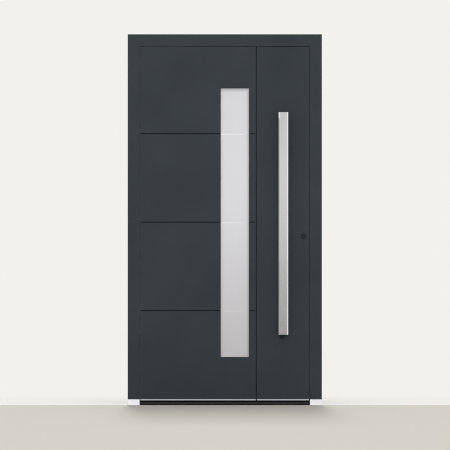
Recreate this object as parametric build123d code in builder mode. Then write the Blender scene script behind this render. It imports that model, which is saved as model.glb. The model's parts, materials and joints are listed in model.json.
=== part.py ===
"""Aluminium entrance door: a three-sided frame on feet, a threshold and one leaf that opens inwards.

Millimetres. Seen from outside, X runs to the right, Y inwards and Z up.
The origin is on the floor, at the middle of the frame's width and depth.
"""

import os

from build123d import *

os.makedirs("parts", exist_ok=True)

# Frame profiles
frame_width = 1100.0
frame_height = 2100.0
frame_depth = 80.0
frame_face = 67.5
shell_width = 45.0
fin_thickness = 4.0
outer_shell_depth = 30.0
inner_shell_depth = 32.0
break_inset = 4.0
foot_height = 31.5
edge_round = 1.0

# Wall anchors in the inner jamb profiles
anchor_hole_radius = 5.0
anchor_end_distance = 250.0
anchor_inner_distance = 800.0

# Threshold
threshold_height = 19.0
nosing_depth = 10.0
nosing_top = 17.0
nosing_front_top = 11.0
nosing_bottom = 5.5
nosing_slope = 7.0

# Gaps between leaf and frame
leaf_gap = 5.0
lock_edge_gap = 8.5
lock_reveal = 5.5

# Leaf
facing_thickness = 11.0
inside_facing_thickness = 4.0
stile_width = 80.0
bottom_rail_height = 100.0
joint_profile_lap = 12.0
joint_profile_depth = 24.0
edge_band_depth = 2.0
edge_band_width = 20.0
strip_width = 294.6
joint_width = 6.5
drip_height = 7.5
seal_drop = 2.0
seal_width = 30.0
seal_end_inset = 10.0
gasket_thickness = 2.0
gasket_inset = 2.0

# Grooves in the wide facing
groove_width = 6.0
groove_depth = 5.0
groove_pitch = 501.0
groove_middle_height = 1035.5
groove_stop = 5.0

# Glass
glass_width = 163.5
glass_to_joint = 36.9
glass_sill_margin = 236.0
glass_head_margin = 231.0
glass_cover = 15.0
outer_pane = 6.0
middle_pane = 4.0
inner_pane = 6.0
spacer_depth = 16.0
spacer_edge = 2.0
spacer_width = 10.0

# Pull bar on slanted posts
bar_width = 54.0
bar_thickness = 16.0
bar_length = 1258.0
bar_bottom = 399.5
bar_from_edge = 145.8
bar_side_bevel = 7.0
bar_bevel_depth = 5.0
bar_end_bevel = 3.0
bar_standoff = 46.0
post_radius = 13.0
post_end_distance = 15.5
post_shift_x = -8.5
post_shift_z = -27.0
post_base_radius = 15.0
post_base_thickness = 3.0

# Lock and inside lever
backset = 50.0
cylinder_height = 955.0
cylinder_radius = 8.5
cylinder_clearance = 0.3
cylinder_proud = 1.0
key_slot_width = 2.4
key_slot_length = 9.0
key_slot_depth = 6.0
rosette_radius = 15.0
rosette_thickness = 5.0
rosette_bevel = 2.0
lever_above_cylinder = 92.0
lever_rosette_radius = 26.0
lever_rosette_thickness = 8.0
lever_radius = 10.0
lever_standoff = 50.0
lever_length = 130.0
lever_bend = 20.0
lever_end_round = 5.0

# Lock edge hardware
lock_line_inset = 16.0
faceplate_width = 20.0
faceplate_thickness = 3.0
faceplate_past_bolts = 120.0
bolt_width = 12.0
bolt_height = 34.0
bolt_depth = 25.0
bolt_clearance = 0.3
latch_above_cylinder = 60.0
hook_distance = 700.0
strike_width = 24.0
strike_thickness = 3.0
strike_end = 30.0
strike_window_margin = 3.0
strike_pocket_depth = 20.0

# Hinges
hinge_end_distance = 220.0
hinge_length = 100.0
hinge_offset = 14.0
knuckle_radius = 10.0
knuckle_gap = 1.0
knuckle_cap = 6.0
pin_radius = 5.0
pin_clearance = 0.05
pin_end_gap = 1.0
hinge_plate_from = 14.5
hinge_plate_width = 30.0
hinge_plate_thickness = 6.0
hinge_web_thickness = 6.0


def upright(y):
    """Upright plane at depth y, drawn in X and Z, whose sketches extrude outwards."""
    return Plane.XZ.offset(-y)


def between(low, high):
    """Middle of two values."""
    return (low + high) / 2


def save(piece, name):
    piece.part.label = name
    export_step(piece.part, f"parts/{name}.step")


# Planes and sizes that several pieces share
outside_y = -frame_depth / 2
inside_y = frame_depth / 2
fin_back = outside_y + fin_thickness
break_front = outside_y + outer_shell_depth
inner_front = inside_y - inner_shell_depth
half_width = frame_width / 2
shell_x = half_width - shell_width
fin_x = half_width - frame_face
fin_z = frame_height - frame_face

leaf_left = -shell_x + leaf_gap
leaf_right = shell_x - lock_edge_gap
leaf_top = frame_height - shell_width - leaf_gap
seal_bottom = threshold_height + leaf_gap
drip_bottom = seal_bottom + seal_drop
leaf_bottom = drip_bottom + drip_height
stile_front = outside_y + facing_thickness
stile_back = inside_y - inside_facing_thickness
facing_left = -fin_x + leaf_gap
facing_right = fin_x - lock_reveal
facing_top = fin_z - leaf_gap
strip_left = facing_right - strip_width
field_right = strip_left - joint_width

glass_right = field_right - glass_to_joint
glass_x = glass_right - glass_width / 2
glass_bottom = leaf_bottom + glass_sill_margin
glass_top = facing_top - glass_head_margin
glass_height = glass_top - glass_bottom
glass_z = between(glass_bottom, glass_top)
pane_width = glass_width + 2 * glass_cover
pane_height = glass_height + 2 * glass_cover
middle_pane_front = stile_front + outer_pane + spacer_depth
inner_pane_front = middle_pane_front + middle_pane + spacer_depth
inner_pane_back = inner_pane_front + inner_pane

cylinder_x = leaf_right - backset
lever_z = cylinder_height + lever_above_cylinder
lock_y = inside_y - lock_line_inset
hinge_x = -shell_x + leaf_gap / 2
hinge_y = inside_y + hinge_offset
knuckle_length = (hinge_length - knuckle_gap) / 2
hinge_heights = {
    "lower": leaf_bottom + hinge_end_distance,
    "middle": between(leaf_bottom, leaf_top),
    "upper": leaf_top - hinge_end_distance,
}
bolt_heights = [
    cylinder_height - hook_distance,
    cylinder_height,
    cylinder_height + latch_above_cylinder,
    cylinder_height + hook_distance,
]
strike_window_width = bolt_width + 2 * strike_window_margin
strike_window_height = bolt_height + 2 * strike_window_margin
strike_reach = strike_window_height / 2 + strike_end
strike_spans = [
    (bolt_heights[0] - strike_reach, bolt_heights[0] + strike_reach),
    (bolt_heights[1] - strike_reach, bolt_heights[2] + strike_reach),
    (bolt_heights[3] - strike_reach, bolt_heights[3] + strike_reach),
]


# Frame members, mitred at the two upper corners


def mitred_outline(edge, near, far):
    """Corners, in X and Z, of one frame member between two distances in from the frame's outer edge."""
    near_x, far_x = half_width - near, half_width - far
    near_z, far_z = frame_height - near, frame_height - far
    if edge == "head":
        return [(-near_x, near_z), (near_x, near_z), (far_x, far_z), (-far_x, far_z)]
    side = -1 if edge == "hinge_jamb" else 1
    return [
        (side * near_x, foot_height),
        (side * near_x, near_z),
        (side * far_x, far_z),
        (side * far_x, foot_height),
    ]


def outer_member(edge):
    """Weather-side profile: a box with the thin stop fin that the leaf closes behind."""
    run = Axis.X if edge == "head" else Axis.Z
    with BuildPart() as member:
        with BuildSketch(upright(break_front)):
            Polygon(*mitred_outline(edge, 0, shell_width), align=None)
        extrude(amount=outer_shell_depth)
        with BuildSketch(upright(fin_back)):
            Polygon(*mitred_outline(edge, shell_width, frame_face), align=None)
        extrude(amount=fin_thickness)
        fillet(member.edges().filter_by(run).group_by(Axis.Y)[0], edge_round)
    return member


def thermal_break(edge):
    """Insulating bar between the outer and inner profiles, set back from their sides."""
    with BuildPart() as member:
        with BuildSketch(upright(inner_front)):
            Polygon(*mitred_outline(edge, break_inset, shell_width - break_inset), align=None)
        extrude(amount=inner_front - break_front)
    return member


def inner_member(edge):
    """Room-side profile, with anchor holes in the jambs and strike pockets on the lock side."""
    run = Axis.X if edge == "head" else Axis.Z
    side = {"hinge_jamb": -1, "lock_jamb": 1, "head": 0}[edge]
    anchor_heights = [
        anchor_end_distance,
        anchor_inner_distance,
        frame_height - anchor_inner_distance,
        frame_height - anchor_end_distance,
    ]
    with BuildPart() as member:
        with BuildSketch(upright(inside_y)):
            Polygon(*mitred_outline(edge, 0, shell_width), align=None)
        extrude(amount=inner_shell_depth)
        fillet(member.edges().filter_by(run).group_by(Axis.Y)[-1], edge_round)
        if side:
            with BuildSketch(Plane.YZ.offset(side * shell_x)):
                with Locations(*[(between(inner_front, inside_y), z) for z in anchor_heights]):
                    Circle(anchor_hole_radius)
            extrude(amount=side * shell_width, mode=Mode.SUBTRACT)
        if edge == "lock_jamb":
            with BuildSketch(Plane.YZ.offset(shell_x)):
                for low, high in strike_spans:
                    with Locations((lock_y, between(low, high))):
                        Rectangle(strike_width, high - low)
            extrude(amount=strike_thickness, mode=Mode.SUBTRACT)
            with BuildSketch(Plane.YZ.offset(shell_x)):
                with Locations(*[(lock_y, z) for z in bolt_heights]):
                    Rectangle(strike_window_width, strike_window_height)
            extrude(amount=strike_pocket_depth, mode=Mode.SUBTRACT)
    return member


for edge in ("hinge_jamb", "lock_jamb", "head"):
    save(outer_member(edge), f"outer_{edge}")
    save(thermal_break(edge), f"break_{edge}")
    save(inner_member(edge), f"inner_{edge}")

# Strike plates, flush in the lock jamb
with BuildPart() as strike_plates:
    with BuildSketch(Plane.YZ.offset(shell_x)):
        for low, high in strike_spans:
            with Locations((lock_y, between(low, high))):
                Rectangle(strike_width, high - low)
        with Locations(*[(lock_y, z) for z in bolt_heights]):
            Rectangle(strike_window_width, strike_window_height, mode=Mode.SUBTRACT)
    extrude(amount=strike_thickness)
save(strike_plates, "strike_plates")

# Feet under the jambs, with the section of the jamb
with BuildPart() as jamb_feet:
    with BuildSketch(Plane.XY):
        for side in (-1, 1):
            with Locations((side * between(half_width, shell_x), 0)):
                Rectangle(shell_width, frame_depth)
            with Locations((side * between(shell_x, fin_x), between(outside_y, fin_back))):
                Rectangle(frame_face - shell_width, fin_thickness)
    extrude(amount=foot_height)
save(jamb_feet, "jamb_feet")

# Threshold: a flat base between the feet and a sloped nosing in front of it
nosing_back = outside_y + nosing_depth

with BuildPart() as threshold_base:
    with BuildSketch(Plane.XY):
        with Locations((0, between(nosing_back, inside_y))):
            Rectangle(2 * shell_x, inside_y - nosing_back)
    extrude(amount=threshold_height)
    chamfer(threshold_base.faces().sort_by(Axis.Z)[-1].edges().sort_by(Axis.Y)[-1], edge_round)
save(threshold_base, "threshold_base")

with BuildPart() as threshold_nosing:
    with BuildSketch(Plane.YZ.offset(-fin_x)):
        Polygon(
            (outside_y, nosing_bottom),
            (nosing_back, nosing_bottom),
            (nosing_back, nosing_top),
            (outside_y + nosing_slope, nosing_top),
            (outside_y, nosing_front_top),
            align=None,
        )
    extrude(amount=2 * fin_x)
save(threshold_nosing, "threshold_nosing")

# Outside facings of the leaf, parted by the upright joint
facing_height = facing_top - leaf_bottom
facing_z = between(leaf_bottom, facing_top)

with BuildPart() as facing_field:
    with BuildSketch(upright(stile_front)):
        with Locations((between(facing_left, field_right), facing_z)):
            Rectangle(field_right - facing_left, facing_height)
        with Locations((glass_x, glass_z)):
            Rectangle(glass_width, glass_height, mode=Mode.SUBTRACT)
    extrude(amount=facing_thickness)
    fillet(facing_field.faces().sort_by(Axis.Y)[0].edges(), edge_round)
    groove_end = field_right - groove_stop
    with BuildSketch(upright(outside_y + groove_depth)):
        with Locations((between(facing_left, groove_end), groove_middle_height)):
            with GridLocations(0, groove_pitch, 1, 3):
                Rectangle(groove_end - facing_left, groove_width)
    extrude(amount=groove_depth, mode=Mode.SUBTRACT)
save(facing_field, "facing_field")

with BuildPart() as facing_strip:
    with BuildSketch(upright(stile_front)):
        with Locations((between(strip_left, facing_right), facing_z)):
            Rectangle(strip_width, facing_height)
        with Locations((cylinder_x, cylinder_height)):
            Circle(cylinder_radius + cylinder_clearance, mode=Mode.SUBTRACT)
    extrude(amount=facing_thickness)
    fillet(facing_strip.faces().sort_by(Axis.Y)[0].edges().filter_by(GeomType.LINE), edge_round)
save(facing_strip, "facing_strip")

# Inside facing, one sheet over the whole leaf
with BuildPart() as inside_facing:
    with BuildSketch(upright(inside_y)):
        with Locations((between(leaf_left, leaf_right), between(leaf_bottom, leaf_top))):
            Rectangle(leaf_right - leaf_left, leaf_top - leaf_bottom)
        with Locations((glass_x, glass_z)):
            Rectangle(glass_width, glass_height, mode=Mode.SUBTRACT)
        with Locations((cylinder_x, cylinder_height)):
            Circle(cylinder_radius + cylinder_clearance, mode=Mode.SUBTRACT)
    extrude(amount=inside_facing_thickness)
    fillet(inside_facing.faces().sort_by(Axis.Y)[-1].edges().filter_by(GeomType.LINE), edge_round)
save(inside_facing, "inside_facing")

# Leaf profiles behind the facings, with a shallow insulating band along the edges that show when open
stile_depth = stile_back - stile_front
band_y = between(stile_front, stile_back)

with BuildPart() as hinge_stile:
    with BuildSketch(Plane.XY.offset(leaf_bottom)):
        with Locations((leaf_left + stile_width / 2, band_y)):
            Rectangle(stile_width, stile_depth)
        with Locations((leaf_left + edge_band_depth / 2, band_y)):
            Rectangle(edge_band_depth, edge_band_width, mode=Mode.SUBTRACT)
    extrude(amount=leaf_top - leaf_bottom)
save(hinge_stile, "hinge_stile")

faceplate_low = bolt_heights[0] - faceplate_past_bolts
faceplate_high = bolt_heights[-1] + faceplate_past_bolts
bolt_slot_width = bolt_width + 2 * bolt_clearance
bolt_slot_height = bolt_height + 2 * bolt_clearance

with BuildPart() as lock_stile:
    with BuildSketch(Plane.XY.offset(leaf_bottom)):
        with Locations((leaf_right - stile_width / 2, band_y)):
            Rectangle(stile_width, stile_depth)
    extrude(amount=leaf_top - leaf_bottom)
    with BuildSketch(Plane.YZ.offset(leaf_right)):
        with Locations((lock_y, between(faceplate_low, faceplate_high))):
            Rectangle(faceplate_width, faceplate_high - faceplate_low)
    extrude(amount=-faceplate_thickness, mode=Mode.SUBTRACT)
    with BuildSketch(Plane.YZ.offset(leaf_right)):
        with Locations(*[(lock_y, z) for z in bolt_heights]):
            Rectangle(bolt_slot_width, bolt_slot_height)
    extrude(amount=-bolt_depth, mode=Mode.SUBTRACT)
    with BuildSketch(upright(stile_back)):
        with Locations((cylinder_x, cylinder_height)):
            Circle(cylinder_radius + cylinder_clearance)
    extrude(amount=stile_depth, mode=Mode.SUBTRACT)
save(lock_stile, "lock_stile")


def leaf_rail(bottom, top):
    """Level profile between the two stiles."""
    rail_left, rail_right = leaf_left + stile_width, leaf_right - stile_width
    with BuildPart() as rail:
        with BuildSketch(Plane.XY.offset(bottom)):
            with Locations((between(rail_left, rail_right), band_y)):
                Rectangle(rail_right - rail_left, stile_depth)
        extrude(amount=top - bottom)
    return rail


save(leaf_rail(leaf_top - stile_width, leaf_top), "top_rail")
save(leaf_rail(leaf_bottom, leaf_bottom + bottom_rail_height), "bottom_rail")

# Upright bar that both outside facings rest on behind the joint
with BuildPart() as joint_profile:
    joint_profile_bottom = leaf_bottom + bottom_rail_height
    joint_profile_top = leaf_top - stile_width
    with BuildSketch(Plane.XY.offset(joint_profile_bottom)):
        with Locations((between(field_right, strip_left), stile_front + joint_profile_depth / 2)):
            Rectangle(joint_width + 2 * joint_profile_lap, joint_profile_depth)
    extrude(amount=joint_profile_top - joint_profile_bottom)
save(joint_profile, "joint_profile")


# Insulating glass: three panes, two spacer frames and the bead that holds them from inside


def glass_pane(front, thickness):
    with BuildPart() as pane:
        with BuildSketch(upright(front + thickness)):
            with Locations((glass_x, glass_z)):
                Rectangle(pane_width, pane_height)
        extrude(amount=thickness)
    return pane


save(glass_pane(stile_front, outer_pane), "glass_outer_pane")
save(glass_pane(middle_pane_front, middle_pane), "glass_middle_pane")
save(glass_pane(inner_pane_front, inner_pane), "glass_inner_pane")

with BuildPart() as glass_spacers:
    for spacer_back in (middle_pane_front, inner_pane_front):
        with BuildSketch(upright(spacer_back)):
            with Locations((glass_x, glass_z)):
                Rectangle(pane_width - 2 * spacer_edge, pane_height - 2 * spacer_edge)
                Rectangle(
                    pane_width - 2 * (spacer_edge + spacer_width),
                    pane_height - 2 * (spacer_edge + spacer_width),
                    mode=Mode.SUBTRACT,
                )
        extrude(amount=spacer_depth)
save(glass_spacers, "glass_spacers")

with BuildPart() as glazing_bead:
    with BuildSketch(upright(stile_back)):
        with Locations((glass_x, glass_z)):
            Rectangle(pane_width, pane_height)
            Rectangle(glass_width, glass_height, mode=Mode.SUBTRACT)
    extrude(amount=stile_back - inner_pane_back)
save(glazing_bead, "glazing_bead")

# Pull bar: a flat bar with bevelled front edges on two slanted posts
bar_x = facing_right - bar_from_edge
bar_back = outside_y - bar_standoff
bar_front = bar_back - bar_thickness

with BuildPart() as pull_bar:
    with BuildSketch(Plane.XY.offset(bar_bottom)):
        Polygon(
            (bar_x - bar_width / 2, bar_back),
            (bar_x - bar_width / 2, bar_front + bar_bevel_depth),
            (bar_x - bar_width / 2 + bar_side_bevel, bar_front),
            (bar_x + bar_width / 2 - bar_side_bevel, bar_front),
            (bar_x + bar_width / 2, bar_front + bar_bevel_depth),
            (bar_x + bar_width / 2, bar_back),
            align=None,
        )
    extrude(amount=bar_length)
    bar_ends = pull_bar.faces().sort_by(Axis.Y)[0].edges().filter_by(Axis.X)
    chamfer(bar_ends, bar_end_bevel)
save(pull_bar, "pull_bar")


def pull_post(height):
    """Round post that leaves the bar's back at a height and slants down and aside to the leaf."""
    top = Vector(bar_x, bar_back, height)
    base = Vector(bar_x + post_shift_x, outside_y, height + post_shift_z)
    with BuildPart() as post:
        with BuildSketch(Plane(origin=base, z_dir=top - base)):
            Circle(post_radius)
        extrude(amount=2 * bar_standoff, both=True)
        split(bisect_by=upright(outside_y), keep=Keep.TOP)
        split(bisect_by=upright(bar_back), keep=Keep.BOTTOM)
        with BuildSketch(upright(outside_y)):
            with Locations((base.X, base.Z)):
                Circle(post_base_radius)
        extrude(amount=post_base_thickness)
    return post


save(pull_post(bar_bottom + post_end_distance), "pull_post_lower")
save(pull_post(bar_bottom + bar_length - post_end_distance), "pull_post_upper")


# Lock cylinder through the leaf, with a rosette on each side


def rosette(y, outwards):
    """Ring around the cylinder on a face of the leaf, bevelled at its free edge."""
    with BuildPart() as ring:
        with BuildSketch(upright(y)):
            with Locations((cylinder_x, cylinder_height)):
                Circle(rosette_radius)
                Circle(cylinder_radius + cylinder_clearance, mode=Mode.SUBTRACT)
        extrude(amount=outwards * rosette_thickness)
        free_face = ring.faces().sort_by(Axis.Y)[0 if outwards > 0 else -1]
        chamfer(free_face.edges().sort_by(SortBy.RADIUS)[-1], rosette_bevel)
    return ring


save(rosette(outside_y, 1), "cylinder_rosette")
save(rosette(inside_y, -1), "inside_cylinder_rosette")

cylinder_reach = rosette_thickness + cylinder_proud
with BuildPart() as lock_cylinder:
    with BuildSketch(upright(inside_y + cylinder_reach)):
        with Locations((cylinder_x, cylinder_height)):
            Circle(cylinder_radius)
    extrude(amount=frame_depth + 2 * cylinder_reach)
    for slot_y in (outside_y - cylinder_reach, inside_y + cylinder_reach):
        with Locations((cylinder_x, slot_y, cylinder_height)):
            Box(key_slot_width, 2 * key_slot_depth, key_slot_length, mode=Mode.SUBTRACT)
save(lock_cylinder, "lock_cylinder")

# Inside lever on its own rosette
with BuildPart() as lever_rosette:
    with BuildSketch(upright(inside_y)):
        with Locations((cylinder_x, lever_z)):
            Circle(lever_rosette_radius)
    extrude(amount=-lever_rosette_thickness)
    free_face = lever_rosette.faces().sort_by(Axis.Y)[-1]
    chamfer(free_face.edges(), rosette_bevel)
save(lever_rosette, "lever_rosette")

lever_start = (cylinder_x, inside_y + lever_rosette_thickness, lever_z)
lever_corner = (cylinder_x, inside_y + lever_rosette_thickness + lever_standoff, lever_z)
lever_end = (cylinder_x - lever_length, inside_y + lever_rosette_thickness + lever_standoff, lever_z)

with BuildPart() as inside_lever:
    with BuildLine():
        FilletPolyline(lever_start, lever_corner, lever_end, radius=lever_bend)
    with BuildSketch(Plane(origin=lever_start, z_dir=(0, 1, 0))):
        Circle(lever_radius)
    sweep()
    fillet(inside_lever.faces().sort_by(Axis.X)[0].edges(), lever_end_round)
save(inside_lever, "inside_lever")

# Lock edge: a long faceplate flush in the stile, and the bolts drawn back into it
with BuildPart() as lock_faceplate:
    with BuildSketch(Plane.YZ.offset(leaf_right)):
        with Locations((lock_y, between(faceplate_low, faceplate_high))):
            Rectangle(faceplate_width, faceplate_high - faceplate_low)
        with Locations(*[(lock_y, z) for z in bolt_heights]):
            Rectangle(bolt_slot_width, bolt_slot_height, mode=Mode.SUBTRACT)
    extrude(amount=-faceplate_thickness)
save(lock_faceplate, "lock_faceplate")

with BuildPart() as lock_bolts:
    with BuildSketch(Plane.YZ.offset(leaf_right)):
        with Locations(*[(lock_y, z) for z in bolt_heights]):
            Rectangle(bolt_width, bolt_height)
    extrude(amount=-bolt_depth)
save(lock_bolts, "lock_bolts")

# Weather seals and the bright drip strips along the leaf's foot
with BuildPart() as drip_strips:
    with BuildSketch(Plane.XY.offset(drip_bottom)):
        for left, right in ((facing_left, field_right), (strip_left, facing_right)):
            with Locations((between(left, right), between(outside_y, stile_front))):
                Rectangle(right - left, facing_thickness)
    extrude(amount=drip_height)
save(drip_strips, "drip_strips")

with BuildPart() as leaf_gasket:
    with BuildSketch(upright(stile_front)):
        gasket_left, gasket_right = leaf_left + gasket_inset, leaf_right - gasket_inset
        gasket_top = leaf_top - gasket_inset
        with Locations((between(gasket_left, gasket_right), between(leaf_bottom, gasket_top))):
            Rectangle(gasket_right - gasket_left, gasket_top - leaf_bottom)
        with Locations((between(facing_left, facing_right), facing_z)):
            Rectangle(facing_right - facing_left, facing_height, mode=Mode.SUBTRACT)
    extrude(amount=gasket_thickness)
save(leaf_gasket, "leaf_gasket")

with BuildPart() as bottom_seal:
    with BuildSketch(Plane.XY.offset(seal_bottom)):
        seal_left, seal_right = leaf_left + seal_end_inset, leaf_right - seal_end_inset
        with Locations((between(seal_left, seal_right), band_y)):
            Rectangle(seal_right - seal_left, seal_width)
    extrude(amount=leaf_bottom - seal_bottom)
save(bottom_seal, "bottom_seal")


# Hinges: the frame half carries the pin, and the leaf half turns on it


def hinge_half(side, knuckle_bottom, height):
    """Knuckle, web and plate of one half; side is -1 on the frame and 1 on the leaf."""
    web_y = hinge_y - knuckle_radius + hinge_web_thickness / 2
    web_reach = hinge_plate_from + hinge_plate_width / 2
    plate_x = hinge_x + side * web_reach
    with BuildPart() as half:
        with BuildSketch(Plane.XY.offset(knuckle_bottom)):
            with Locations((hinge_x, hinge_y)):
                Circle(knuckle_radius)
            with Locations((hinge_x + side * web_reach / 2, web_y)):
                Rectangle(web_reach, hinge_web_thickness)
        extrude(amount=knuckle_length)
        with BuildSketch(upright(inside_y)):
            with Locations((plate_x, height)):
                Rectangle(hinge_plate_width, hinge_length)
        extrude(amount=-hinge_plate_thickness)
        if side < 0:
            with BuildSketch(Plane.XY.offset(knuckle_bottom + knuckle_length)):
                with Locations((hinge_x, hinge_y)):
                    Circle(pin_radius)
            extrude(amount=knuckle_gap + knuckle_length - knuckle_cap - pin_end_gap)
        else:
            with BuildSketch(Plane.XY.offset(knuckle_bottom)):
                with Locations((hinge_x, hinge_y)):
                    Circle(pin_radius + pin_clearance)
            extrude(amount=knuckle_length - knuckle_cap, mode=Mode.SUBTRACT)
    return half


for place, height in hinge_heights.items():
    save(hinge_half(-1, height - hinge_length / 2, height), f"frame_hinge_{place}")
    save(hinge_half(1, height + knuckle_gap / 2, height), f"leaf_hinge_{place}")
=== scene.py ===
"""Looks of the aluminium entrance door: its finishes, small fittings, floor, light and camera.

Metres. Seen from outside, X runs to the right, Y inwards and Z up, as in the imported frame.
"""

import json
import math

import bmesh
import bpy
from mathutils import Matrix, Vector


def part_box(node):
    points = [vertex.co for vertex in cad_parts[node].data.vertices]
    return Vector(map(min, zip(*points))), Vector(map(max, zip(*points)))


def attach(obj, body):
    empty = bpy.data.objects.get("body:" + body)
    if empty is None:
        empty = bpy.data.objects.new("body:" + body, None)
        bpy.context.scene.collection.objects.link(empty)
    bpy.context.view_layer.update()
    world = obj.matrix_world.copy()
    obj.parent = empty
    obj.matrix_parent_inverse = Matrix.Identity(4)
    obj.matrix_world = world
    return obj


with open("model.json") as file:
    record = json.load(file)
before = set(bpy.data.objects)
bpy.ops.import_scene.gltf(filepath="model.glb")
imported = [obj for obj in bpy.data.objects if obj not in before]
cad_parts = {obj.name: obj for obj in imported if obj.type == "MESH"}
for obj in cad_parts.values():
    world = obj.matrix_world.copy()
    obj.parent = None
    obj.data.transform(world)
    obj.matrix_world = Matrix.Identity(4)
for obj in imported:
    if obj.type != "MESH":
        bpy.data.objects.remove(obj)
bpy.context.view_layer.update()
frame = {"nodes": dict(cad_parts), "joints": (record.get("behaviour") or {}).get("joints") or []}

# Camera: square on to the door, near half its height, far enough back for the flat view of the photo
VIEW_WIDTH = 2.549
VIEW_CENTRE = Vector((0.0014, -0.04, 1.0196))
VIEW_DISTANCE = 15.0
SENSOR_WIDTH = 36.0  # millimetres
PIXEL_FILTER_WIDTH = 1.0  # pixels, for edges as crisp as the photo's

# Floor: it fades to the backdrop's colour far from the door, and close behind it
FLOOR_RADIUS = 60.0
FLOOR_SIDES = 96
FLOOR_SEAM_Y = -0.04
FLOOR_SEAM_BLUR = 0.002
FLOOR_FADE_START = 3.4
FLOOR_FADE_END = 7.0
BACK_FADE_START = 0.05
BACK_FADE_END = 0.9
FLOOR_GLOW = 0.7  # strength of the faded floor as a light, where the camera sees 1

# Light: a dome, lights behind the door, and a card for gloss to mirror
DOME_FRONT = 1.06
DOME_BACK = 0.2
BACK_LIGHT_LEVEL = 1.14  # on the floor, all back lights together
BACK_LIGHT_ELEVATIONS = (55, 63, 70, 77)  # degrees
BACK_LIGHT_SPREAD = math.radians(8)
BACK_LIGHT_TURN = math.radians(2.5)
CARD_Y = -4.0
CARD_HALF_WIDTH = 4.0
CARD_BOTTOM = 0.01
CARD_TOP = 4.0
CARD_LEVELS = ((0.0, 0.3), (0.40, 0.42), (1.15, 0.98), (1.4, 0.94), (2.0, 0.72))  # height, brightness

# Sizes of the door's pieces that don't follow from their boxes
GLASS_COVER = 0.015  # how far the facing covers the pane's edges
GROOVE_HEIGHTS = (0.5345, 1.0355, 1.5365)
GROOVE_DEPTH = 0.005
GROOVE_STOP = 0.005  # from the right end of the grooves to the facing's edge
HINGE_PLATE_THICKNESS = 0.006

# Satin glass, with painted light and shade: darker towards the bottom, with painted shade over its upper
# part and along its top and right edges
GLASS_PAINTED_LIGHT_HEIGHTS = (0.27, 1.1)  # painted light: heights from its darkest painted tone to its lightest
# Painted shade that dims the glass over its upper part and along its top and right edges
GLASS_UPPER_SHADE = 0.06
GLASS_UPPER_SHADE_DEPTH = 0.45
GLASS_EDGE_SHADE = 0.34
GLASS_TOP_SHADE_DEPTH = 0.026
GLASS_RIGHT_SHADE_WIDTH = 0.017
GLASS_LINE_STRENGTHS = (0.2, 1.1, 1.35)  # from the lowest line up
GLASS_LINE_DROP = 0.003  # below the middle of the groove
GLASS_LINE_CORE = 0.0025
GLASS_LINE_EDGE = 0.0045
GLASS_LINE_FADE = (0.085, 0.112)

# Fittings
SEAT = 0.0004  # how deep a fitting is set into what carries it
CREASE_ANGLE = math.radians(35)
WELD_DISTANCE = 1e-6
HINGE_SCREW_RADIUS = 0.0042
HINGE_SCREW_HEIGHT = 0.0016
HINGE_SCREW_RISES = (0.014, 0.036)  # from a hinge's middle
WEB_SCREW_REACH = 0.037  # from the hinge's axis to the screws beside the knuckle's web
FREE_SCREW_REACH = 0.0295  # and to those on the free half of the plate
EDGE_SCREW_RADIUS = 0.004
EDGE_SCREW_HEIGHT = 0.0012
FACEPLATE_SCREW_RISES = (-0.8, -0.6, -0.35, -0.1, 0.16, 0.41, 0.6, 0.8)  # from the lock cylinder
STRIKE_SCREW_RISES = (-0.74, -0.66, -0.04, 0.1, 0.66, 0.74)
THRESHOLD_RIB_DEPTHS = (-0.026, -0.021, -0.016, 0.024, 0.029, 0.034)
THRESHOLD_RIB_STOP = 0.002

# Boxes of the nodes that finishes and fittings are placed by
field_low, field_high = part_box("facing_field")
pane_low, pane_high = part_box("glass_outer_pane")
inner_pane_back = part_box("glass_inner_pane")[1].y
glass_left, glass_right = pane_low.x + GLASS_COVER, pane_high.x - GLASS_COVER
glass_top = pane_high.z - GLASS_COVER
cylinder_low, cylinder_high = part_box("lock_cylinder")
lever_low, lever_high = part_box("lever_rosette")
cylinder_axis = ((cylinder_low.x + cylinder_high.x) / 2, (cylinder_low.z + cylinder_high.z) / 2)
lever_axis = ((lever_low.x + lever_high.x) / 2, (lever_low.z + lever_high.z) / 2)
hinge_boxes = [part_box(f"leaf_hinge_{place}") for place in ("lower", "middle", "upper")]
hinge_heights = [(low.z + high.z) / 2 for low, high in hinge_boxes]
hinge_low, hinge_high = hinge_boxes[0]
hinge_x, hinge_y, _ = frame["joints"][0]["pos_m"]
hinge_plate_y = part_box("inside_facing")[1].y + HINGE_PLATE_THICKNESS
knuckle_radius = hinge_high.y - hinge_y
knuckle_reach = (hinge_high.z - hinge_low.z) / 2  # from a hinge's middle to the free end of a knuckle
groove_floor_y = field_low.y + GROOVE_DEPTH


def colour(red, green, blue):
    """Linear colour, with alpha, of 8-bit display values."""

    def linear(value):
        share = value / 255
        return share / 12.92 if share <= 0.04045 else ((share + 0.055) / 1.055) ** 2.4

    return (linear(red), linear(green), linear(blue), 1.0)


PALE = colour(242, 241, 237)
BEIGE = colour(215, 211, 202)
WHITE = colour(255, 255, 255)


# Nodes of materials and of the world


def add(tree, kind, sockets=None, **settings):
    """Adds a node to a tree, with its settings, and sets or links its sockets by name or number."""
    node = tree.nodes.new(kind)
    for name, value in settings.items():
        setattr(node, name, value)
    for name, value in (sockets or {}).items():
        if isinstance(value, bpy.types.NodeSocket):
            tree.links.new(value, node.inputs[name])
        else:
            node.inputs[name].default_value = value
    return node


def map_range(tree, value, start, end, low=0.0, high=1.0, **settings):
    """Value that goes from low to high as another goes from start to end."""
    sockets = {"Value": value, "From Min": start, "From Max": end, "To Min": low, "To Max": high}
    return add(tree, "ShaderNodeMapRange", sockets, **settings).outputs["Result"]


def blend_colours(tree, factor, first, second):
    sockets = {0: factor, 6: first, 7: second}
    return add(tree, "ShaderNodeMix", sockets, data_type="RGBA").outputs[2]


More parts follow.
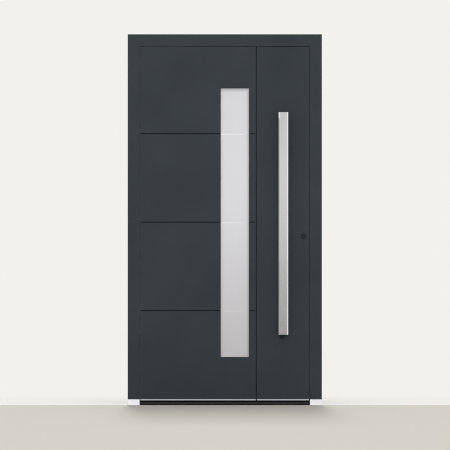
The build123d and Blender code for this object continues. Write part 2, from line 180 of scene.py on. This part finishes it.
def coordinate(tree, vector, letter):
    return add(tree, "ShaderNodeSeparateXYZ", {"Vector": vector}).outputs[letter]


def camera_ray(tree):
    """1 where the camera looks, and 0 where light bounces."""
    return add(tree, "ShaderNodeLightPath").outputs["Is Camera Ray"]


def bare_material(name):
    """Material whose node tree is empty."""
    material = bpy.data.materials.new(name)
    material.use_nodes = True
    material.node_tree.nodes.clear()
    return material


# Finishes


class Finish:
    """A material in the making: its node tree, its shader and the nodes that most finishes share."""

    def __init__(self, name, constants):
        self.material = bpy.data.materials.new(name)
        self.material.use_nodes = True
        self.tree = self.material.node_tree
        self.shader = self.tree.nodes["Principled BSDF"]
        self.texture = self.add("ShaderNodeTexCoord").outputs
        for socket, value in constants.items():
            self.shader.inputs[socket].default_value = value

    def add(self, kind, sockets=None, **settings):
        return add(self.tree, kind, sockets, **settings)

    def drive(self, socket, output):
        self.tree.links.new(output, self.shader.inputs[socket])

    def noise(self, scale, detail=3.0, stretch=(1, 1, 1)):
        """Noise of so many cells a metre, stretched along the axes where the factors are under 1."""
        place = self.add("ShaderNodeMapping", {"Vector": self.texture["Object"], "Scale": stretch})
        sockets = {"Vector": place.outputs["Vector"], "Scale": scale, "Detail": detail}
        return self.add("ShaderNodeTexNoise", sockets).outputs["Fac"]

    def remap(self, value, low, high, start=0.3, end=0.7):
        """Value from low to high as another goes from start to end, by default the usual span of noise."""
        return map_range(self.tree, value, start, end, low, high)

    def math(self, operation, *values):
        return self.add("ShaderNodeMath", dict(enumerate(values)), operation=operation).outputs["Value"]

    def vector(self, operation, *values):
        return self.add("ShaderNodeVectorMath", dict(enumerate(values)), operation=operation).outputs

    def weigh(self, first, second, share):
        """A share of one value and the rest of another."""
        return self.math("MULTIPLY_ADD", first, share, self.math("MULTIPLY", second, 1 - share))

    def blend(self, factor, first, second):
        """Colour between two others."""
        return blend_colours(self.tree, factor, first, second)

    def axis(self, output, letter):
        return coordinate(self.tree, self.texture[output], letter)

    def rounded(self, radius):
        """Normal with the edges rounded off, and how much it turns away from the face, from 0 to 1."""
        bevel = self.add("ShaderNodeBevel", {"Radius": radius}, samples=6).outputs["Normal"]
        face = self.add("ShaderNodeNewGeometry").outputs["Normal"]
        turn = self.vector("DOT_PRODUCT", bevel, face)["Value"]
        return bevel, self.remap(turn, 1.0, 0.0, start=0.80, end=0.99)

    def roughen(self, value, middle, spread):
        self.drive("Roughness", self.remap(value, middle - spread, middle + spread))

    def relief(self, height, distance, strength, normal):
        sockets = {"Height": height, "Distance": distance, "Strength": strength, "Normal": normal}
        self.drive("Normal", self.add("ShaderNodeBump", sockets).outputs["Normal"])


def powder_coat(name, low, high, highlight_tone, roughness):
    """Fine-texture powder coat: a close pebbled grain, faint clouds and a painted highlight along its
    edges.
    """
    finish = Finish(name, {"Specular IOR Level": 0.25})
    grain = finish.noise(scale=1100)
    clouds = finish.noise(scale=2.2, detail=4)
    speck = finish.weigh(grain, clouds, share=0.45)
    tone = finish.blend(finish.remap(speck, 0.0, 1.0), low, high)
    normal, edge = finish.rounded(radius=0.0012)
    # Painted highlight: the rounded edges lightened towards a light tone, as where they catch the light
    painted_highlight = finish.math("MULTIPLY", edge, 0.5)
    finish.drive("Base Color", finish.blend(painted_highlight, tone, highlight_tone))
    finish.roughen(grain, roughness, spread=0.08)
    finish.relief(grain, distance=0.0010, strength=0.8, normal=normal)
    return finish.material


def moulded(name, low, high, roughness, grain_scale=900, gloss=0.3, painted_shade_across=False):
    """Moulded plastic or rubber: a matt skin with a fine grain and faint clouds.

    Where asked, a painted shade darkens its tone from the left of the door to the right.
    """
    finish = Finish(name, {"Specular IOR Level": gloss})
    grain = finish.noise(grain_scale)
    shade = finish.remap(finish.noise(scale=9, detail=4), 0.0, 1.0)
    if painted_shade_across:
        # Painted shade, darker towards the right of the door
        across = finish.remap(finish.axis("Object", "X"), 1.0, 0.0, start=-0.5, end=0.5)
        shade = finish.weigh(shade, across, share=0.15)
    normal, _ = finish.rounded(radius=0.0008)
    finish.drive("Base Color", finish.blend(shade, low, high))
    finish.roughen(grain, roughness, spread=0.08)
    finish.relief(grain, distance=0.0001, strength=0.3, normal=normal)
    return finish.material


def brushed_metal(name, low, high, roughness, along, grain_scale=1500, metallic=1.0, polished_edges=False):
    """Metal with brush lines along one axis; polished edges are the faces that don't look outwards."""
    brush_stretch, roughness_spread, strength = 0.005, 0.05, 0.09
    polish_tone = colour(202, 202, 204)
    polish_roughness = 0.12  # as a share of the brushed roughness
    finish = Finish(name, {"Metallic": metallic})
    stretch = [1.0, 1.0, 1.0]
    stretch["XYZ".index(along)] = brush_stretch
    lines = finish.noise(grain_scale, detail=2, stretch=stretch)
    clouds = finish.noise(scale=4)
    tone = finish.remap(finish.weigh(lines, clouds, share=0.7), 0.0, 1.0)
    metal = finish.blend(tone, low, high)
    gloss = finish.remap(lines, roughness - roughness_spread, roughness + roughness_spread)
    if polished_edges:
        facing = finish.math("ABSOLUTE", finish.axis("Normal", "Y"))
        flat = finish.remap(facing, 0.0, 1.0, start=0.9, end=0.95)
        polish = finish.remap(flat, polish_roughness, 1.0, start=0.0, end=1.0)
        gloss = finish.math("MULTIPLY", gloss, polish)
        metal = finish.blend(flat, polish_tone, metal)
        strength = finish.math("MULTIPLY", flat, strength)
    normal, _ = finish.rounded(radius=0.0006)
    finish.drive("Base Color", metal)
    finish.drive("Roughness", gloss)
    finish.relief(lines, distance=0.00005, strength=strength, normal=normal)
    return finish.material


def turned_metal(name, low, high, roughness, centre):
    """Metal turned on a lathe: fine rings around an axis along Y through a centre, in X and Z."""
    rings_per_metre = 3000.0
    finish = Finish(name, {"Metallic": 1.0})
    place = finish.vector("ADD", finish.texture["Object"], (-centre[0], 0.0, -centre[1]))["Vector"]
    flat = finish.vector("MULTIPLY", place, (1, 0, 1))["Vector"]
    radius = finish.vector("LENGTH", flat)["Value"]
    sockets = {"W": finish.math("MULTIPLY", radius, rings_per_metre), "Scale": 1.0, "Detail": 2.0}
    rings = finish.add("ShaderNodeTexNoise", sockets, noise_dimensions="1D").outputs["Fac"]
    normal, _ = finish.rounded(radius=0.0006)
    finish.drive("Base Color", finish.blend(finish.remap(rings, 0.0, 1.0), low, high))
    finish.roughen(rings, roughness, spread=0.06)
    finish.relief(rings, distance=0.00004, strength=0.2, normal=normal)
    return finish.material


def satin_glass(name):
    """Etched white glass with painted light and shade: darker towards the bottom, with painted shade at its
    top and right edges, and three lines that fade to the right.
    """
    # Painted light: the glass's tone at the bottom, in painted shade, and at about 1.1 m, lit
    shaded_tone, lit_tone = colour(192, 190, 193), colour(216, 216, 221)
    cloud_tone, shade_tone, line_tone = colour(198, 198, 201), colour(40, 41, 44), colour(228, 228, 231)
    finish = Finish(name, {"Specular IOR Level": 0.5})
    height = finish.axis("Object", "Z")
    across = finish.axis("Object", "X")
    etch = finish.noise(scale=700)
    clouds = finish.noise(scale=3)
    tone = finish.blend(finish.remap(height, 0.0, 1.0, *GLASS_PAINTED_LIGHT_HEIGHTS), shaded_tone, lit_tone)
    haze = finish.math("MULTIPLY", clouds, 0.15)
    tone = finish.blend(haze, tone, cloud_tone)
    from_top = finish.math("SUBTRACT", glass_top, height)
    from_right = finish.math("SUBTRACT", glass_right, across)
    # Painted shade over the upper part of the glass and along its top and right edges
    upper_shade = finish.remap(from_top, GLASS_UPPER_SHADE, 0.0, start=0.0, end=GLASS_UPPER_SHADE_DEPTH)
    top_shade = finish.remap(from_top, GLASS_EDGE_SHADE, 0.0, start=0.0, end=GLASS_TOP_SHADE_DEPTH)
    right_shade = finish.remap(from_right, GLASS_EDGE_SHADE, 0.0, start=0.0, end=GLASS_RIGHT_SHADE_WIDTH)
    edge_shade = finish.math("ADD", finish.math("MAXIMUM", top_shade, right_shade), upper_shade)
    tone = finish.blend(edge_shade, tone, shade_tone)
    fade = finish.remap(across, 1.0, 0.0, *GLASS_LINE_FADE)
    for groove, strength in zip(GROOVE_HEIGHTS, GLASS_LINE_STRENGTHS):
        away = finish.math("ABSOLUTE", finish.math("SUBTRACT", height, groove - GLASS_LINE_DROP))
        line = finish.remap(away, strength, 0.0, start=GLASS_LINE_CORE, end=GLASS_LINE_EDGE)
        tone = finish.blend(finish.math("MULTIPLY", line, fade), tone, line_tone)
    finish.drive("Base Color", tone)
    finish.drive("Roughness", finish.remap(etch, 0.42, 0.55))
    normal, _ = finish.rounded(radius=0.0006)
    finish.relief(etch, distance=0.00004, strength=0.2, normal=normal)
    return finish.material


def clear_glass(name):
    """Clear float glass, faintly green, with soft smears in its gloss."""
    finish = Finish(name, {"Transmission Weight": 1.0, "IOR": 1.5})
    smears = finish.noise(scale=6, detail=4, stretch=(1.0, 1.0, 0.4))
    finish.drive("Base Color", finish.blend(smears, colour(249, 252, 250), colour(253, 254, 253)))
    finish.drive("Roughness", finish.remap(smears, 0.01, 0.05))
    return finish.material


# The third colour of each coat is the tone of its painted edge highlight
COAT = powder_coat("anthracite_coat", colour(38, 45, 51), colour(52, 58, 64), colour(71, 77, 83), 0.58)
DARK_COAT = powder_coat("dark_coat", colour(24, 29, 33), colour(30, 35, 39), colour(40, 45, 49), 0.5)
NOSING_COAT = powder_coat("nosing_coat", colour(36, 36, 37), colour(42, 42, 43), colour(56, 56, 57), 0.5)
POST_COAT = powder_coat("post_coat", colour(42, 46, 50), colour(48, 52, 56), colour(58, 62, 66), 0.5)
POLYMER = moulded("black_polymer", colour(9, 9, 9), colour(15, 15, 15), 0.7, gloss=0.12)
SHADOW_BLACK = moulded("shadow_black", colour(20, 24, 27), colour(26, 30, 33), 0.7)
JOINT_GREY = moulded("joint_grey", colour(49, 54, 57), colour(55, 60, 63), 0.7)
# The gasket's grey is painted lighter against the shade in the gap round the leaf, and painted shade
# darkens it to the right
RUBBER = moulded("grey_rubber", colour(64, 69, 72), colour(95, 101, 105), 0.75, 500, painted_shade_across=True)
DARK_RUBBER = moulded("dark_rubber", colour(26, 27, 29), colour(36, 37, 39), 0.7, 500)
WHITE_BLOCK = moulded("white_block", colour(240, 240, 247), colour(248, 248, 254), 0.5)
ANODISED = brushed_metal(
    "anodised_silver", colour(180, 185, 190), colour(196, 201, 206), 0.42, "X", metallic=0.6
)
BAR_STEEL = brushed_metal(
    "bar_steel",
    colour(210, 207, 208),
    colour(222, 219, 220),
    0.22,
    "Z",
    grain_scale=3200,
    polished_edges=True,
)
STEEL_LOW, STEEL_HIGH = colour(190, 190, 188), colour(214, 214, 212)
STEEL_Z = brushed_metal("steel_brushed_upright", STEEL_LOW, STEEL_HIGH, 0.33, "Z")
STEEL_X = brushed_metal("steel_brushed_level", STEEL_LOW, STEEL_HIGH, 0.33, "X")
LEVER_STEEL = turned_metal("steel_turned", STEEL_LOW, STEEL_HIGH, 0.3, lever_axis)
CYLINDER_STEEL = turned_metal("steel_turned_lock", STEEL_LOW, STEEL_HIGH, 0.3, cylinder_axis)
DARK_METAL = turned_metal("cylinder_metal", colour(44, 51, 57), colour(66, 73, 80), 0.38, cylinder_axis)
SATIN_GLASS = satin_glass("satin_glass")
CLEAR_GLASS = clear_glass("clear_glass")

NODE_FINISHES = {
    COAT: [
        "outer_hinge_jamb", "outer_lock_jamb", "outer_head",
        "inner_hinge_jamb", "inner_lock_jamb", "inner_head",
        "facing_field", "facing_strip", "inside_facing",
        "hinge_stile", "lock_stile", "top_rail", "bottom_rail", "glazing_bead",
    ],
    JOINT_GREY: ["joint_profile"],
    DARK_COAT: ["cylinder_rosette"],
    NOSING_COAT: ["threshold_nosing"],
    POST_COAT: ["pull_post_lower", "pull_post_upper"],
    POLYMER: ["break_hinge_jamb", "break_lock_jamb", "break_head", "threshold_base"],
    RUBBER: ["leaf_gasket", "bottom_seal"],
    WHITE_BLOCK: ["jamb_feet"],
    ANODISED: ["drip_strips", "glass_spacers"],
    BAR_STEEL: ["pull_bar"],
    STEEL_Z: [
        "lock_faceplate", "lock_bolts", "strike_plates",
        "frame_hinge_lower", "frame_hinge_middle", "frame_hinge_upper",
        "leaf_hinge_lower", "leaf_hinge_middle", "leaf_hinge_upper",
    ],
    STEEL_X: ["inside_lever"],
    LEVER_STEEL: ["lever_rosette"],
    CYLINDER_STEEL: ["inside_cylinder_rosette"],
    DARK_METAL: ["lock_cylinder"],
    SATIN_GLASS: ["glass_outer_pane"],
    CLEAR_GLASS: ["glass_middle_pane", "glass_inner_pane"],
}
for material, names in NODE_FINISHES.items():
    for name in names:
        frame["nodes"][name].material_slots[0].material = material


# Small fittings, in mesh code, carried by the frame or the leaf


def piece(name, body, finish, build):
    """Mesh object that build fills, with crisp edges where its faces turn sharply, riding on a body."""
    form = bmesh.new()
    build(form)
    bmesh.ops.recalc_face_normals(form, faces=form.faces)
    for face in form.faces:
        face.smooth = True
    for edge in form.edges:
        edge.smooth = edge.is_manifold and edge.calc_face_angle() < CREASE_ANGLE
    mesh = bpy.data.meshes.new(name)
    form.to_mesh(mesh)
    form.free()
    mesh.materials.append(finish)
    made = bpy.data.objects.new(name, mesh)
    bpy.context.collection.objects.link(made)
    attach(made, body)


def lathe(form, profile, at, axis, hexagons=(), segments=24):
    """Turns a profile of (radius, height) points about an axis.

    The points whose numbers are in hexagons make hexagons instead of circles.
    """
    turn = Vector((0, 0, 1)).rotation_difference(Vector(axis)).to_matrix()
    sector = math.pi / 3
    rings = []
    for number, (radius, height) in enumerate(profile):
        if radius == 0:
            rings.append([form.verts.new(Vector(at) + turn @ Vector((0, 0, height)))])
            continue
        ring = []
        for step in range(segments):
            angle = 2 * math.pi * step / segments
            reach = radius / math.cos(angle % sector - sector / 2) if number in hexagons else radius
            spoke = Vector((reach * math.cos(angle), reach * math.sin(angle), height))
            ring.append(form.verts.new(Vector(at) + turn @ spoke))
        rings.append(ring)
    for first, second in zip(rings, rings[1:]):
        for step in range(segments):
            ahead = (step + 1) % segments
            corners = [first[step % len(first)], first[ahead % len(first)]]
            corners += [second[ahead % len(second)], second[step % len(second)]]
            form.faces.new(list(dict.fromkeys(corners)))


def sweep(form, path, profile, closed=False):
    """Runs a profile of (inset, depth) points along a path in X and Z, with mitred corners.

    Insets go to the left of the path.
    """
    points = [Vector(point) for point in path]
    count = len(points)
    rings = []
    for number, point in enumerate(points):
        runs = []
        if closed or number > 0:
            runs.append((point - points[number - 1]).normalized())
        if closed or number < count - 1:
            runs.append((points[(number + 1) % count] - point).normalized())
        sides = [Vector((-run.y, run.x)) for run in runs]
        mitre = sum(sides, Vector((0, 0)))
        mitre /= mitre.dot(sides[0])
        ring = []
        for inset, depth in profile:
            ring.append(form.verts.new((point.x + mitre.x * inset, depth, point.y + mitre.y * inset)))
        rings.append(ring)
    for first, second in zip(rings, rings[1:] + rings[:1] if closed else rings[1:]):
        for step in range(len(profile)):
            ahead = (step + 1) % len(profile)
            form.faces.new((first[step], first[ahead], second[ahead], second[step]))
    if not closed:
        form.faces.new(rings[0])
        form.faces.new(rings[-1])


def screw(form, at, axis, radius, height):
    """Screw head with a bevelled rim and a hexagon socket."""
    socket_radius, socket_floor = 0.42 * radius, 0.25 * height
    profile = [
        (0, -SEAT), (radius, -SEAT), (radius, 0.4 * height), (0.85 * radius, height),
        (socket_radius, height), (socket_radius, socket_floor), (0, socket_floor),
    ]
    lathe(form, profile, at, axis, hexagons=(4, 5))


def hinge_screws(side):
    """Screws of three plates: two beside the knuckle's web and two on the free half.

    The side is -1 on the frame, where the webs are below, and 1 on the leaf.
    """

    def build(form):
        for height in hinge_heights:
            for rise in HINGE_SCREW_RISES:
                for reach, way in ((WEB_SCREW_REACH, side), (FREE_SCREW_REACH, -side)):
                    at = (hinge_x + side * reach, hinge_plate_y, height + way * rise)
                    screw(form, at, (0, 1, 0), HINGE_SCREW_RADIUS, HINGE_SCREW_HEIGHT)

    return build


def hinge_caps(side):
    """Domed caps on the knuckles' free ends, at the top on the leaf and at the bottom on the frame."""
    dome = [
        (0, -SEAT), (0.99, -SEAT), (1.0, 0.0006), (0.93, 0.0022),
        (0.7, 0.0034), (0.35, 0.0041), (0, 0.0043),
    ]
    profile = [(share * knuckle_radius, height) for share, height in dome]

    def build(form):
        for height in hinge_heights:
            lathe(form, profile, (hinge_x, hinge_y, height + side * knuckle_reach), (0, 0, side))

    return build


def hinge_washers(form):
    """Bearing rings in the gaps between the knuckles."""
    inner, outer, half = 0.0056, 0.0092, 0.00035
    profile = [(inner, -half), (outer, -half), (outer, half), (inner, half), (inner, -half)]
    for height in hinge_heights:
        lathe(form, profile, (hinge_x, hinge_y, height), (0, 0, 1))
    bmesh.ops.remove_doubles(form, verts=form.verts, dist=WELD_DISTANCE)


def edge_screws(form, x, box, axis, rises):
    """Screws up the middle of a plate in the edge of the leaf or of the jamb."""
    low, high = box
    for rise in rises:
        at = (x, (low.y + high.y) / 2, cylinder_axis[1] + rise)
        screw(form, at, axis, EDGE_SCREW_RADIUS, EDGE_SCREW_HEIGHT)


def faceplate_screws(form):
    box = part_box("lock_faceplate")
    edge_screws(form, box[1].x, box, (1, 0, 0), FACEPLATE_SCREW_RISES)


def strike_screws(form):
    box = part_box("strike_plates")
    edge_screws(form, box[0].x, box, (-1, 0, 0), STRIKE_SCREW_RISES)


def painted_groove_shade(form):
    """Dark strips on the floor of the grooves, left and right of the glass: painted shade, where the
    grooves fall in shadow.
    """
    half, thick = 0.0029, 0.0011
    back, edge, front = groove_floor_y + SEAT, groove_floor_y - 0.7 * thick, groove_floor_y - thick
    profile = [
        (-half, back), (-half, edge), (-0.8 * half, front),
        (0.8 * half, front), (half, edge), (half, back),
    ]
    for height in GROOVE_HEIGHTS:
        for left, right in ((field_low.x, glass_left), (glass_right, field_high.x - GROOVE_STOP)):
            sweep(form, [(left, height), (right, height)], profile)


def glazing_seal(face_y, outwards):
    """Wedge of rubber round the glass, between the pane and the edge of its opening."""
    wedge = [(-SEAT, -SEAT), (0.0016, -SEAT), (0.0014, 0.0008), (0.0007, 0.0018), (-SEAT, 0.0022)]
    profile = [(inset, face_y + outwards * rise) for inset, rise in wedge]
    left, right = glass_left, glass_right
    bottom, top = pane_low.z + GLASS_COVER, glass_top

    def build(form):
        sweep(form, [(left, bottom), (right, bottom), (right, top), (left, top)], profile, closed=True)

    return build


def bulb_seal(form):
    """Half-round seal on the leaf's gasket, which meets the frame's fin on both sides and at the top."""
    radius, step = 0.0022, 20
    left_inset, right_inset, top_inset = 0.009, 0.008, 0.009
    low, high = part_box("leaf_gasket")
    left, right, top = low.x + left_inset, high.x - right_inset, high.z - top_inset
    arc = [math.radians(angle) for angle in range(0, 181, step)]
    profile = [(radius * math.cos(angle), low.y - radius * math.sin(angle)) for angle in arc]
    profile += [(-radius, low.y + SEAT), (radius, low.y + SEAT)]
    sweep(form, [(left, low.z), (left, top), (right, top), (right, low.z)], profile)


def bottom_lips(form):
    """Two soft lips that hang from the bottom seal to just over the threshold."""
    margin = 0.002
    lip = [
        (0.0006, -0.0014), (-0.0022, -0.0020), (-0.0046, -0.0034),
        (-0.0046, -0.0024), (-0.0020, 0.0004), (0.0006, 0.0014),
    ]
    low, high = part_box("bottom_seal")
    for y in (low.y + margin, high.y - margin):
        profile = [(inset, y + depth) for inset, depth in lip]
        sweep(form, [(low.x, low.z), (high.x, low.z)], profile)


def edge_band(form):
    """Ribbed insulating band in the hinge edge of the leaf."""
    recess, half, base, crest = 0.002, 0.0098, 0.0010, 0.0016
    rib_pitch, rib_foot, rib_top = 0.0036, 0.0010, 0.0005
    low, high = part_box("hinge_stile")
    floor_x, middle = low.x + recess, (low.y + high.y) / 2
    profile = [(-SEAT, middle - half), (base, middle - half)]
    for rib in (-2, -1, 0, 1, 2):
        y = middle + rib * rib_pitch
        profile += [(base, y - rib_foot), (crest, y - rib_top), (crest, y + rib_top), (base, y + rib_foot)]
    profile += [(base, middle + half), (-SEAT, middle + half)]
    sweep(form, [(floor_x, low.z), (floor_x, high.z)], profile)


def threshold_ribs(form):
    """Low ribs along the tread of the threshold."""
    foot, top, height = 0.0014, 0.0007, 0.0008
    low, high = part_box("threshold_base")
    left, right = low.x + THRESHOLD_RIB_STOP, high.x - THRESHOLD_RIB_STOP
    for y in THRESHOLD_RIB_DEPTHS:
        profile = [(-SEAT, y - foot), (height, y - top), (height, y + top), (-SEAT, y + foot)]
        sweep(form, [(left, high.z), (right, high.z)], profile)


def bedding_and_shade_strip(form):
    """Bead of dark sealant under the nosing of the threshold, which bulges out before it; its black also
    serves as painted shade at the foot of the nosing.
    """
    lift, bulge = 0.0002, 0.0030
    low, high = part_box("threshold_nosing")
    front, back, top = low.y - bulge, high.y + SEAT, low.z + SEAT
    profile = [(lift, front), (lift, back), (top, back), (top, low.y + bulge / 2), (0.3 * top, low.y)]
    sweep(form, [(low.x, 0.0), (high.x, 0.0)], profile)


def plug_rings(form):
    """Raised rims round the key slot, on both ends of the lock cylinder."""
    x, z = cylinder_axis
    profile = [
        (0.0050, -SEAT), (0.0066, -SEAT), (0.0064, 0.0004),
        (0.0060, 0.0006), (0.0052, 0.0004), (0.0050, -SEAT),
    ]
    for y, outwards in ((cylinder_low.y, -1), (cylinder_high.y, 1)):
        lathe(form, profile, (x, y, z), (0, outwards, 0), segments=36)
    bmesh.ops.remove_doubles(form, verts=form.verts, dist=WELD_DISTANCE)


piece("hinge_screws_frame", "frame", STEEL_Z, hinge_screws(-1))
piece("hinge_screws_leaf", "leaf", STEEL_Z, hinge_screws(1))
piece("hinge_caps_frame", "frame", STEEL_Z, hinge_caps(-1))
piece("hinge_caps_leaf", "leaf", STEEL_Z, hinge_caps(1))
piece("hinge_washers", "frame", POLYMER, hinge_washers)
piece("faceplate_screws", "leaf", STEEL_Z, faceplate_screws)
piece("strike_screws", "frame", STEEL_Z, strike_screws)
# Dark strips in the grooves as painted shade
piece("painted_groove_shade", "leaf", SHADOW_BLACK, painted_groove_shade)
piece("glazing_seal_outside", "leaf", DARK_RUBBER, glazing_seal(pane_low.y, -1))
piece("glazing_seal_inside", "leaf", DARK_RUBBER, glazing_seal(inner_pane_back, 1))
piece("bulb_seal", "leaf", DARK_RUBBER, bulb_seal)
piece("bottom_lips", "leaf", DARK_RUBBER, bottom_lips)
piece("edge_band", "leaf", POLYMER, edge_band)
piece("threshold_ribs", "frame", POLYMER, threshold_ribs)
# Sealant bead whose black is also painted shade under the nosing
piece("bedding_and_shade_strip", "frame", POLYMER, bedding_and_shade_strip)
piece("plug_rings", "leaf", DARK_METAL, plug_rings)


# Stage: floor, light and camera


def floor_material():
    """Beige before the seam and pale behind it, fading into a glow of the backdrop's colour."""
    material = bare_material("studio_floor")
    tree = material.node_tree
    place = add(tree, "ShaderNodeTexCoord").outputs["Object"]
    depth = coordinate(tree, place, "Y")
    reach = add(tree, "ShaderNodeVectorMath", {0: place}, operation="LENGTH").outputs["Value"]
    behind = map_range(tree, depth, FLOOR_SEAM_Y - FLOOR_SEAM_BLUR, FLOOR_SEAM_Y + FLOOR_SEAM_BLUR)
    matt = add(tree, "ShaderNodeBsdfDiffuse", {"Color": blend_colours(tree, behind, BEIGE, PALE)})
    strength = map_range(tree, camera_ray(tree), 0.0, 1.0, FLOOR_GLOW, 1.0)
    glow = add(tree, "ShaderNodeEmission", {"Color": PALE, "Strength": strength})
    fades = [
        map_range(tree, value, start, end, interpolation_type="SMOOTHSTEP")
        for value, start, end in (
            (reach, FLOOR_FADE_START, FLOOR_FADE_END),
            (depth, BACK_FADE_START, BACK_FADE_END),
        )
    ]
    far = add(tree, "ShaderNodeMath", dict(enumerate(fades)), operation="MAXIMUM").outputs["Value"]
    sockets = {0: far, 1: matt.outputs["BSDF"], 2: glow.outputs["Emission"]}
    blend = add(tree, "ShaderNodeMixShader", sockets).outputs["Shader"]
    add(tree, "ShaderNodeOutputMaterial", {"Surface": blend})
    return material


def build_floor():
    mesh = bpy.data.meshes.new("floor")
    form = bmesh.new()
    bmesh.ops.create_circle(form, cap_ends=True, radius=FLOOR_RADIUS, segments=FLOOR_SIDES)
    form.to_mesh(mesh)
    form.free()
    mesh.materials.append(floor_material())
    floor = bpy.data.objects.new("floor", mesh)
    bpy.context.collection.objects.link(floor)
    return floor


def build_world():
    """Soft dome of light, brighter on the camera's side; the camera itself sees a plain pale backdrop."""
    world = bpy.data.worlds.new("studio")
    world.use_nodes = True
    bpy.context.scene.world = world
    tree = world.node_tree
    tree.nodes.clear()
    way = add(tree, "ShaderNodeTexCoord").outputs["Generated"]
    level = map_range(tree, coordinate(tree, way, "Y"), -1.0, 1.0, DOME_FRONT, DOME_BACK)
    dome = add(tree, "ShaderNodeBackground", {"Color": WHITE, "Strength": level}).outputs["Background"]
    backdrop = add(tree, "ShaderNodeBackground", {"Color": PALE}).outputs["Background"]
    blend = add(tree, "ShaderNodeMixShader", {0: camera_ray(tree), 1: dome, 2: backdrop}).outputs["Shader"]
    add(tree, "ShaderNodeOutputWorld", {"Surface": blend})


def softbox(name, place, target, width, height, power, for_gloss=False):
    """Area light that faces a target, unseen itself: it lights surfaces, or shows in gloss alone."""
    light = bpy.data.lights.new(name, "AREA")
    light.shape = "RECTANGLE"
    light.size = width
    light.size_y = height
    light.energy = power
    lamp = bpy.data.objects.new(name, light)
    lamp.location = place
    lamp.rotation_euler = (Vector(target) - Vector(place)).to_track_quat("-Z", "Y").to_euler()
    lamp.visible_camera = False
    lamp.visible_glossy = for_gloss
    lamp.visible_diffuse = not for_gloss
    bpy.context.collection.objects.link(lamp)
    return lamp


def build_back_lights():
    """Soft lights one above the other behind the door, so that its shadow before it fades outwards."""
    for elevation in BACK_LIGHT_ELEVATIONS:
        light = bpy.data.lights.new("back_light", "SUN")
        light.energy = BACK_LIGHT_LEVEL / len(BACK_LIGHT_ELEVATIONS) / math.sin(math.radians(elevation))
        light.angle = BACK_LIGHT_SPREAD
        lamp = bpy.data.objects.new(f"back_light_{elevation}", light)
        lamp.rotation_euler = (math.radians(elevation - 90), 0.0, BACK_LIGHT_TURN)
        bpy.context.collection.objects.link(lamp)


def link_light(lamp, role, state, subjects):
    """Includes objects in, or excludes them from, the receivers or the blockers of a lamp's light."""
    group = bpy.data.collections.new(f"{lamp.name}_{role}s")
    setattr(lamp.light_linking, f"{role}_collection", group)
    for number, subject in enumerate(subjects):
        group.objects.link(subject)
        group.collection_objects[number].light_linking.link_state = state


def reflector_card():
    """Card that only gloss mirrors, darkest at the floor and brightest half way up the door."""
    material = bare_material("reflector_card")
    tree = material.node_tree
    place = add(tree, "ShaderNodeTexCoord").outputs["Object"]
    share = map_range(tree, coordinate(tree, place, "Z"), 0.0, CARD_TOP)
    ramp = add(tree, "ShaderNodeValToRGB", {"Fac": share})
    stops = ramp.color_ramp.elements
    while len(stops) < len(CARD_LEVELS):
        stops.new(1.0)
    for stop, (height, level) in zip(stops, CARD_LEVELS):
        stop.position = height / CARD_TOP
        stop.color = (level, level, level, 1.0)
    glow = add(tree, "ShaderNodeEmission", {"Color": ramp.outputs["Color"]}).outputs["Emission"]
    add(tree, "ShaderNodeOutputMaterial", {"Surface": glow})
    left, right = -CARD_HALF_WIDTH, CARD_HALF_WIDTH
    outline = ((left, CARD_BOTTOM), (right, CARD_BOTTOM), (right, CARD_TOP), (left, CARD_TOP))
    mesh = bpy.data.meshes.new("reflector_card")
    mesh.from_pydata([(x, CARD_Y, z) for x, z in outline], [], [(0, 1, 2, 3)])
    mesh.materials.append(material)
    card = bpy.data.objects.new("reflector_card", mesh)
    card.visible_camera = False
    card.visible_diffuse = False
    card.visible_shadow = False
    card.visible_transmission = False
    bpy.context.collection.objects.link(card)


def build_lights(floor):
    """Key and rear light, kept off the floor, the back lights, and panels that shape the gloss of metal."""
    pull_bar, drip_strips = frame["nodes"]["pull_bar"], frame["nodes"]["drip_strips"]
    key = softbox("key", place=(0.0, -9.2, 6.4), target=(0.0, 0.0, 1.0), width=9.0, height=6.0, power=365)
    link_light(key, "receiver", "EXCLUDE", [floor])
    link_light(key, "blocker", "EXCLUDE", [pull_bar])
    build_back_lights()
    rear = softbox("rear", place=(0.0, 9.0, 1.8), target=(0.0, 0.0, 1.1), width=4.0, height=2.5, power=280)
    link_light(rear, "receiver", "EXCLUDE", [floor])
    softbox(
        "right_panel",
        place=(3.2, -1.1, 1.15),
        target=(0.33, -0.1, 1.1),
        width=1.0,
        height=2.8,
        power=5.5,
        for_gloss=True,
    )
    softbox(
        "left_panel",
        place=(-2.6, -1.1, 2.345),
        target=(0.33, -0.1, 2.345),
        width=1.0,
        height=1.2,
        power=2.2,
        for_gloss=True,
    )
    low_panel = softbox(
        "low_panel",
        place=(0.0, -0.5, 0.01),
        target=(0.0, -0.5, 1.0),
        width=1.2,
        height=0.8,
        power=1.2,
        for_gloss=True,
    )
    link_light(low_panel, "receiver", "INCLUDE", [pull_bar, drip_strips])


def build_camera():
    data = bpy.data.cameras.new("camera")
    data.sensor_width = SENSOR_WIDTH
    data.lens = SENSOR_WIDTH * VIEW_DISTANCE / VIEW_WIDTH
    data.clip_end = 2 * FLOOR_RADIUS
    camera = bpy.data.objects.new("camera", data)
    camera.location = VIEW_CENTRE - Vector((0.0, VIEW_DISTANCE, 0.0))
    camera.rotation_euler = (math.radians(90), 0.0, 0.0)
    bpy.context.collection.objects.link(camera)
    bpy.context.scene.camera = camera


floor = build_floor()
build_world()
build_camera()
reflector_card()
build_lights(floor)
bpy.context.scene.view_settings.view_transform = "Standard"
bpy.context.scene.cycles.filter_width = PIXEL_FILTER_WIDTH
